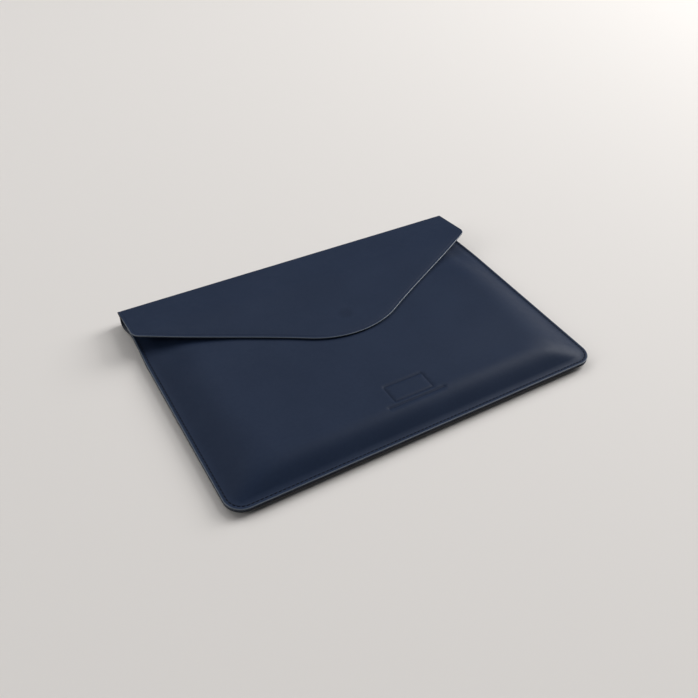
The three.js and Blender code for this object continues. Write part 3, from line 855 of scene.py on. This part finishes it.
class Nodes:
    """A material's node tree."""

    def __init__(self, name):
        self.material = bpy.data.materials.new(name)
        self.material.use_nodes = True
        self.tree = self.material.node_tree
        self.tree.nodes.clear()
        self.shader = self.add("ShaderNodeBsdfPrincipled")
        output = self.add("ShaderNodeOutputMaterial")
        self.link(self.shader.outputs[0], output.inputs["Surface"])

    def link(self, source, target):
        self.tree.links.new(source, target)

    def add(self, kind, settings=None, **inputs):
        node = self.tree.nodes.new(kind)
        for key, value in (settings or {}).items():
            setattr(node, key, value)
        for key, value in inputs.items():
            self.set(node, key.replace("_", " "), value)
        return node

    def set(self, node, key, value):
        socket = node.inputs[int(key)] if key.isdigit() else node.inputs[key]
        if isinstance(value, bpy.types.NodeSocket):
            self.link(value, socket)
        else:
            socket.default_value = value

    def attribute(self, name, output):
        return self.add("ShaderNodeAttribute", {"attribute_name": name}).outputs[output]

    def grain(self):
        """Place on the flat sheet and depth in it, in millimetres."""
        return self.attribute("grain", "Vector")

    def math(self, operation, a, b=0.0, c=0.0):
        node = self.add("ShaderNodeMath", {"operation": operation})
        for index, value in enumerate((a, b, c)):
            self.set(node, str(index), value)
        return node.outputs[0]

    def weighted(self, *pairs):
        """Sum of values, each times its weight."""
        total = 0.0
        for value, weight in pairs:
            total = self.math("MULTIPLY_ADD", value, weight, total)
        return total

    def remap(self, value, low, high, to_low=0.0, to_high=1.0):
        node = self.add("ShaderNodeMapRange", {"interpolation_type": "SMOOTHSTEP"})
        for key, number in zip(("Value", "From Min", "From Max", "To Min", "To Max"),
                               (value, low, high, to_low, to_high)):
            self.set(node, key, number)
        return node.outputs[0]

    def noise(self, vector, scale, detail=2.0, roughness=0.5):
        return self.add("ShaderNodeTexNoise", Vector=vector, Scale=scale, Detail=detail,
                        Roughness=roughness).outputs[0]

    def voronoi(self, vector, scale, feature="SMOOTH_F1"):
        return self.add("ShaderNodeTexVoronoi", {"feature": feature}, Vector=vector, Scale=scale).outputs[0]

    def mix_colour(self, share, a, b):
        node = self.add("ShaderNodeMix", {"data_type": "RGBA"})
        self.set(node, "0", share)
        for index, value in ((6, a), (7, b)):
            self.set(node, str(index), value)
        return node.outputs[2]

    def bump(self, height, distance_mm, strength=1.0, normal=None):
        node = self.add("ShaderNodeBump", Height=height, Distance=distance_mm * MM, Strength=strength)
        if normal is not None:
            self.link(normal, node.inputs["Normal"])
        return node.outputs[0]

    def finish(self, **inputs):
        for key, value in inputs.items():
            self.set(self.shader, key.replace("_", " "), value)
        return self.material


def rgba(red, green, blue):
    return (red, green, blue, 1.0)


GRAIN_HEIGHT = 0.022
NAVY_DARK = rgba(0.0120, 0.0215, 0.0470)
NAVY_LIGHT = rgba(0.0145, 0.0250, 0.0530)
# lighter navy for the band along the cut edge: partly wear, partly a painted highlight
NAVY_WEAR_AND_HIGHLIGHT = rgba(0.0361, 0.0550, 0.1054)
# darker navy painted into the pressed lines and hollows as shade
NAVY_RECESS_SHADE = rgba(0.003, 0.008, 0.024)


def leather_material():
    """Smooth coated leather: pebble grain, pores, colour drift, an edge band of wear and painted highlight,
    painted shade in pressed lines.
    """
    nodes = Nodes("navy_leather")
    where = nodes.grain()
    edge = nodes.attribute("edge", "Fac")
    drift = nodes.noise(where, 0.018, 3)
    mottle = nodes.noise(where, 0.35, 4, 0.6)
    pebble = nodes.voronoi(where, 1.15)
    fine = nodes.noise(where, 3.2, 3)
    pores = nodes.remap(nodes.noise(where, 1.9, 2), 0.60, 0.72)
    height = nodes.weighted((pebble, 0.8), (fine, 0.35), (pores, -0.3))
    waves = nodes.bump(nodes.noise(where, 0.045, 2), 0.12, 0.5)
    normal = nodes.bump(height, GRAIN_HEIGHT, 0.8, waves)
    share = nodes.weighted((drift, 0.6), (mottle, 0.4))
    colour = nodes.mix_colour(nodes.remap(share, 0.35, 0.65), NAVY_DARK, NAVY_LIGHT)
    # within about a millimetre of the cut edge the navy turns lighter: partly wear, partly a painted
    # highlight where the edge's rounding catches the light
    colour = nodes.mix_colour(nodes.remap(edge, 0.4, 1.2, 0.45, 0.0), colour, NAVY_WEAR_AND_HIGHLIGHT)
    # painted shade: the deeper the leather is pressed in (stitch grooves, edge crease, the mark, the
    # magnet's dimple), the darker its colour
    depth = nodes.add("ShaderNodeSeparateXYZ", Vector=where).outputs[2]
    colour = nodes.mix_colour(nodes.remap(depth, 0.06, 0.3, 0.0, 0.42), colour, NAVY_RECESS_SHADE)
    shine = nodes.remap(nodes.noise(where, 0.12, 4), 0.3, 0.7, 0.47, 0.52)
    return nodes.finish(Base_Color=colour, Roughness=shine, Normal=normal, Specular_IOR_Level=0.11)


def edge_paint_material(name, dark, light):
    """Satin paint over the cut edges, with faint brush ripples."""
    nodes = Nodes(name)
    where = nodes.grain()
    ripple = nodes.noise(where, 0.8, 3)
    colour = nodes.mix_colour(ripple, dark, light)
    return nodes.finish(Base_Color=colour, Roughness=0.36, Normal=nodes.bump(ripple, 0.05, 0.6))


def suede_material():
    """Flesh side of the leather and of the facing."""
    nodes = Nodes("leather_inside")
    where = nodes.grain()
    nap = nodes.noise(where, 2.6, 5, 0.7)
    colour = nodes.mix_colour(nap, rgba(0.012, 0.016, 0.028), rgba(0.030, 0.038, 0.058))
    return nodes.finish(Base_Color=colour, Roughness=0.95, Normal=nodes.bump(nap, 0.08), Sheen_Weight=0.3)


def lining_material():
    """Napped microfibre: short brushed pile with a soft sheen and light and dark strokes."""
    nodes = Nodes("microfibre")
    where = nodes.grain()
    stretch = nodes.add("ShaderNodeMapping", Vector=where, Scale=(1.0, 0.45, 1.0)).outputs[0]
    pile = nodes.noise(stretch, 3.4, 5, 0.7)
    strokes = nodes.noise(stretch, 0.06, 3)
    share = nodes.weighted((pile, 0.5), (strokes, 0.5))
    colour = nodes.mix_colour(
        nodes.remap(share, 0.35, 0.65), rgba(0.020, 0.026, 0.040), rgba(0.044, 0.054, 0.078))
    return nodes.finish(
        Base_Color=colour, Roughness=0.9, Normal=nodes.bump(pile, 0.12, 0.8),
        Sheen_Weight=0.6, Sheen_Roughness=0.45, Sheen_Tint=rgba(0.55, 0.62, 0.75))


def foam_material():
    nodes = Nodes("padding_foam")
    where = nodes.grain()
    cells = nodes.voronoi(where, 2.2, "F1")
    colour = nodes.mix_colour(cells, rgba(0.035, 0.038, 0.042), rgba(0.115, 0.120, 0.125))
    return nodes.finish(Base_Color=colour, Roughness=1.0, Normal=nodes.bump(cells, 0.15))


def thread_material():
    """Bonded twisted thread: the plies wind round at a steep angle."""
    nodes = Nodes("thread")
    where = nodes.grain()
    split = nodes.add("ShaderNodeSeparateXYZ", Vector=where)
    phase = nodes.weighted((split.outputs[0], 2.2), (split.outputs[1], 1.0))
    ply = nodes.math("ABSOLUTE", nodes.math("SINE", nodes.math("MULTIPLY", phase, math.pi)))
    colour = nodes.mix_colour(ply, rgba(0.002, 0.003, 0.006), rgba(0.008, 0.011, 0.021))
    return nodes.finish(
        Base_Color=colour, Roughness=0.7, Normal=nodes.bump(ply, 0.06), Specular_IOR_Level=0.15)


def board_material():
    nodes = Nodes("fibre_board")
    where = nodes.add("ShaderNodeTexCoord").outputs["Object"]
    fibre = nodes.noise(where, 900.0, 4, 0.7)
    fleck = nodes.noise(where, 160.0, 3)
    share = nodes.math("MULTIPLY", fibre, fleck)
    colour = nodes.mix_colour(share, rgba(0.17, 0.13, 0.09), rgba(0.42, 0.34, 0.24))
    return nodes.finish(Base_Color=colour, Roughness=0.85, Normal=nodes.bump(fibre, 0.1))


def magnet_material():
    nodes = Nodes("nickel_plate")
    where = nodes.add("ShaderNodeTexCoord").outputs["Object"]
    brushed = nodes.add("ShaderNodeMapping", Vector=where, Scale=(60.0, 900.0, 60.0)).outputs[0]
    scratch = nodes.noise(brushed, 1.0, 4)
    shine = nodes.remap(scratch, 0.3, 0.7, 0.18, 0.34)
    return nodes.finish(
        Base_Color=rgba(0.46, 0.47, 0.48), Metallic=1.0, Roughness=shine, Normal=nodes.bump(scratch, 0.02))


LEATHER_MATERIAL = leather_material()
SUEDE = suede_material()
EDGE_PAINT = edge_paint_material(
    "edge_paint", rgba(0.070, 0.090, 0.120), rgba(0.110, 0.135, 0.170))
# the same edge paint again, made near black as painted shade for the edges of the back, spine and shoulder,
# which face down or away from the light
SHADED_BACK_EDGE_PAINT = edge_paint_material(
    "shaded_back_edge_paint", rgba(0.006, 0.008, 0.012), rgba(0.010, 0.013, 0.019))
MICROFIBRE = lining_material()
FOAM_MATERIAL = foam_material()
THREAD = thread_material()
# each of these is for a sheet's near face, its far face and its edge
HIDE_MATERIALS = (LEATHER_MATERIAL, SUEDE, EDGE_PAINT)
# the back, spine and shoulder pieces take the shaded copy of the edge paint
BACK_MATERIALS = (LEATHER_MATERIAL, SUEDE, SHADED_BACK_EDGE_PAINT)
LINING_MATERIALS = (MICROFIBRE,) * 3
FOAM_MATERIALS = (FOAM_MATERIAL,) * 3


# ---- the hide cut into its sections, and pieces that ride on the pocket


# name, the two bodies it joins, its bend, its stretch of s and what it stands for of each layer in the CAD
SECTIONS = (
    ("back", "pocket", "spine", "lower", (-math.inf, SPINE_CUT), ("back", "spine")),
    ("shoulder", "spine", "shoulder", "upper", (SPINE_CUT, SHOULDER_CUT), ("shoulder",)),
    ("flap", "shoulder", "flap", "bend", (SHOULDER_CUT, math.inf), ("flap",)),
)


def make_bending(sheet, suffix, layer, materials, flap_materials):
    """Cuts a sheet between the bends into its sections and hides the CAD nodes that each one stands for."""
    for label, parent, child, crease, span, stands_for in SECTIONS:
        piece = sheet.make(f"{label}_{suffix}", flap_materials if label == "flap" else materials, span)
        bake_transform(piece)
        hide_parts(*(f"{part}_{layer}" for part in stands_for))


def make_riding(piece, node):
    """Lets a piece ride on the pocket in place of a CAD node."""
    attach(piece, "pocket")
    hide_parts(node)


# ---- leather, lining and foam

def build_hide():
    circles = [flap_circle(MAGNET_RADIUS + d) for d in (-0.4, 0.5, 1.6)]
    flat = FlatMesh(HIDE_OUTLINE, LEATHER / 2, loops=circles, rows=bend_rows())
    sheet = Sheet(flat, hide_lift, hide_near, hide_far)
    make_bending(sheet, "hide", "leather", BACK_MATERIALS, HIDE_MATERIALS)


def flap_circle(radius):
    """A circle round the magnet, drawn on the flat hide."""
    plan = circle(radius)
    return np.column_stack([plan[:, 0], PROFILE.s_at_zero - plan[:, 1]])[::-1]


def build_hide_lining():
    outline = offset(HIDE_OUTLINE, 0.2)
    flat = FlatMesh(outline, LINING / 2, insets=LINING_INSETS, spacing=5.0, rows=bend_rows())
    sheet = Sheet(flat, hide_lift, hide_lining_near, thicker(hide_lining_near, LINING))
    make_bending(sheet, "lining_sheet", "lining", LINING_MATERIALS, LINING_MATERIALS)


def build_front():
    circles = [circle(MAGNET_RADIUS + d) for d in (0.0, 0.9, 1.8)]
    flat = FlatMesh(PANEL_OUTLINE, LEATHER / 2, spacing=3.5, loops=[*mark_loops(), *circles])
    piece = Sheet(flat, front_lift, front_near, constant(LEATHER)).make("front_hide", HIDE_MATERIALS)
    make_riding(piece, "front_leather")


def build_front_lining():
    outline = panel_outline(0.2, FRONT_LINING_HIGH.y)
    flat = FlatMesh(outline, LINING / 2, insets=LINING_INSETS, spacing=5.0)
    sheet = Sheet(flat, front_lift, front_lining_near, thicker(front_lining_near, LINING))
    make_riding(sheet.make("front_lining_sheet", LINING_MATERIALS), "front_lining")


def build_facing():
    facing = box_outline(FACING_HIGH.x, FACING_LOW.y, FACING_HIGH.y - 0.3)
    flat = FlatMesh(facing, FACING / 2, insets=(0.8, 1.6, 3.0), spacing=5.0)
    near = constant(LEATHER + LAYER_GAP)
    sheet = Sheet(flat, front_lift, near, thicker(near, FACING))
    piece = sheet.make("mouth_facing_strip", (SUEDE, LEATHER_MATERIAL, EDGE_PAINT))
    make_riding(piece, "mouth_facing")


def box_outline(half_x, low_y, high_y, step=4.0):
    half = line_points((0, low_y), (half_x, low_y), step)
    half += line_points((half_x, low_y), (half_x, high_y), step)
    half += line_points((half_x, high_y), (0, high_y), step) + [np.array([0.0, high_y])]
    return mirrored(half)


def foam_far(plan):
    return LEATHER + np.maximum(foam_thickness(slope_share(*plan.T)) - LAYER_GAP, 0.1)


def build_foam(name, top_y, lift, holes):
    outline = panel_outline(FLANGE_WIDTH + 0.2 * BOTTOM_SLOPE_WIDTH + 0.5, top_y, 4.0)
    flat = FlatMesh(outline, 0.05, insets=(2.0, 4.0), spacing=5.0, holes=holes)
    sheet = Sheet(flat, lift, constant(LEATHER + LAYER_GAP / 2), foam_far)
    make_riding(sheet.make(f"{name}_pad", FOAM_MATERIALS), name)


# ---- stitches

STITCH_SIDES = 8
STITCH_STEPS = 8
STITCH_HOLE = 0.10
STITCH_SLANT = 0.16
STITCH_SUNK = -0.25
STITCH_CROWN = 0.24


def tube_faces(start):
    """Faces of one stitch, a closed tube whose points are numbered from start."""
    rings = numbered_rings(start, STITCH_STEPS + 1, STITCH_SIDES)
    return bands(rings) + [rings[0][::-1], rings[-1]]


def stitch_row(name, path, lift, side, node):
    """Row of separate stitches along a plan path; each dips into the leather at both ends.

    side is 1 where the outer face looks up and -1 where it looks down."""
    lengths = np.concatenate([[0], np.cumsum(np.hypot(*np.diff(path, axis=0).T))])
    count = round(lengths[-1] / STITCH_PITCH)
    pitch = lengths[-1] / count
    share = np.linspace(-1, 1, STITCH_STEPS + 1)
    height = lerp(STITCH_CROWN, STITCH_SUNK, np.abs(share) ** 4)
    radius = THREAD_RADIUS * np.sqrt(np.clip(1.04 - share ** 8, 0.05, 1))
    angles = np.arange(STITCH_SIDES) * 2 * math.pi / STITCH_SIDES
    points, faces, grain = [], [], []
    for k in range(count):
        t = np.linspace(k + STITCH_HOLE, k + 1 - STITCH_HOLE, STITCH_STEPS + 1) * pitch
        plan = np.column_stack([np.interp(t, lengths, path[:, 0]), np.interp(t, lengths, path[:, 1])])
        along = np.gradient(plan, axis=0)
        along /= np.linalg.norm(along, axis=1)[:, None]
        across = np.column_stack([-along[:, 1], along[:, 0]])
        plan = plan + across * (share * STITCH_SLANT)[:, None]
        centre = lift(plan, STITCH_GROOVE - height)
        faces += tube_faces(len(points) * STITCH_SIDES)
        for j in range(STITCH_STEPS + 1):
            sideways = np.outer(np.cos(angles), [*across[j], 0])
            points.append(centre[j] + radius[j] * (sideways + np.outer(np.sin(angles), [0, 0, side])))
            grain.append(np.column_stack([np.full_like(angles, t[j]), angles / math.pi, 0 * angles]))
    piece = make_mesh(
        name, np.concatenate(points), faces, [THREAD], [0] * len(faces), {"grain": np.concatenate(grain)})
    make_riding(piece, node)


def seam_line():
    top = np.array([HALF_WIDTH - STITCH_INSET, SEAM_TOP_Y])
    right = np.array([*u_half(STITCH_INSET, SEAM_TOP_Y, 0.5), top])
    left = right[:0:-1] * np.array([-1, 1])
    return np.concatenate([left, right])


def build_stitches():
    def under_facing(plan, depth):
        return front_lift(plan, LEATHER + LAYER_GAP + FACING + STITCH_GROOVE - depth)

    seam = seam_line()
    reach = FACING_HIGH.x - 1.5
    mouth = np.column_stack([np.linspace(-reach, reach, 400), np.full(400, MOUTH_Y - MOUTH_STITCH_INSET)])
    stitch_row("seam_stitches_front", seam, front_lift, 1, "seam_needle_thread")
    stitch_row("seam_stitches_back", seam, back_lift, -1, "seam_bobbin_thread")
    stitch_row("mouth_stitches_outside", mouth, front_lift, 1, "mouth_needle_thread")
    stitch_row("mouth_stitches_inside", mouth, under_facing, -1, "mouth_bobbin_thread")


# ---- CAD nodes that stay

def finish_cad_nodes():
    nickel = magnet_material()
    materials = {"flap_board": board_material(), "flap_magnet": nickel, "front_magnet": nickel}
    for name, material in materials.items():
        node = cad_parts[name]
        node.data.materials.clear()
        node.data.materials.append(material)
        bevel = node.modifiers.new("edge", "BEVEL")
        bevel.width = 0.1 * MM
        bevel.segments = 2
        bevel.limit_method = "ANGLE"


# ---- stage, lights and camera

CAMERA_AZIMUTH = math.radians(-32.88)
CAMERA_ELEVATION = math.radians(42.41)
CAMERA_ROLL = math.radians(3.48)
CAMERA_DISTANCE = 0.6649
CAMERA_TARGET = Vector((-0.0078, -0.0029, 0.0))
CAMERA_LENS = 39.45


def build_camera():
    data = bpy.data.cameras.new("camera")
    data.lens = CAMERA_LENS
    data.clip_start, data.clip_end = 0.01, 50
    camera = add_object("camera", data)
    turn = Matrix.Rotation(CAMERA_AZIMUTH, 4, "Z") @ Matrix.Rotation(math.pi / 2 - CAMERA_ELEVATION, 4, "X")
    away = Matrix.Rotation(CAMERA_ROLL, 4, "Z") @ Matrix.Translation((0, 0, CAMERA_DISTANCE))
    camera.matrix_world = Matrix.Translation(CAMERA_TARGET) @ turn @ away
    bpy.context.scene.camera = camera


def area_light(name, location, size, power):
    """Soft light that points at the middle of the sleeve."""
    data = bpy.data.lights.new(name, "AREA")
    data.shape = "RECTANGLE"
    data.size, data.size_y = size
    data.energy = power
    light = add_object(name, data)
    light.location = location
    light.rotation_euler = (-Vector(location)).to_track_quat("-Z", "Y").to_euler()


def build_stage():
    bpy.ops.mesh.primitive_plane_add(size=40, location=(0, 0, -0.0002))
    floor = bpy.context.active_object
    floor.name = "floor"
    nodes = Nodes("floor")
    floor.data.materials.append(nodes.finish(Base_Color=rgba(0.74, 0.711, 0.684), Roughness=0.9))

    world = bpy.data.worlds.new("world")
    bpy.context.scene.world = world
    world.use_nodes = True
    background = world.node_tree.nodes["Background"]
    background.inputs["Color"].default_value = rgba(0.96, 0.97, 1.0)
    background.inputs["Strength"].default_value = 0.09
    area_light("left_softbox", (-2.6, 0.4, 1.4), (1.4, 1.4), 18)
    area_light("right_softbox", (2.6, 0.2, 1.4), (1.4, 1.4), 53)
    area_light("high_right_softbox", (1.8, 0.2, 2.6), (1.8, 1.8), 36)
    area_light("back_softbox", (-0.4, 1.9, 2.4), (4.0, 2.0), 37)
    bpy.context.scene.view_settings.view_transform = "Standard"


# ---- everything together

build_hide()
build_hide_lining()
build_front()
build_front_lining()
build_facing()
build_foam("front_foam", FRONT_FOAM_HIGH.y, front_lift, [circle(MAGNET_RADIUS + 0.6)])
build_foam("back_foam", BACK_FOAM_HIGH.y, back_lift, [])
build_stitches()
finish_cad_nodes()
build_stage()
build_camera()
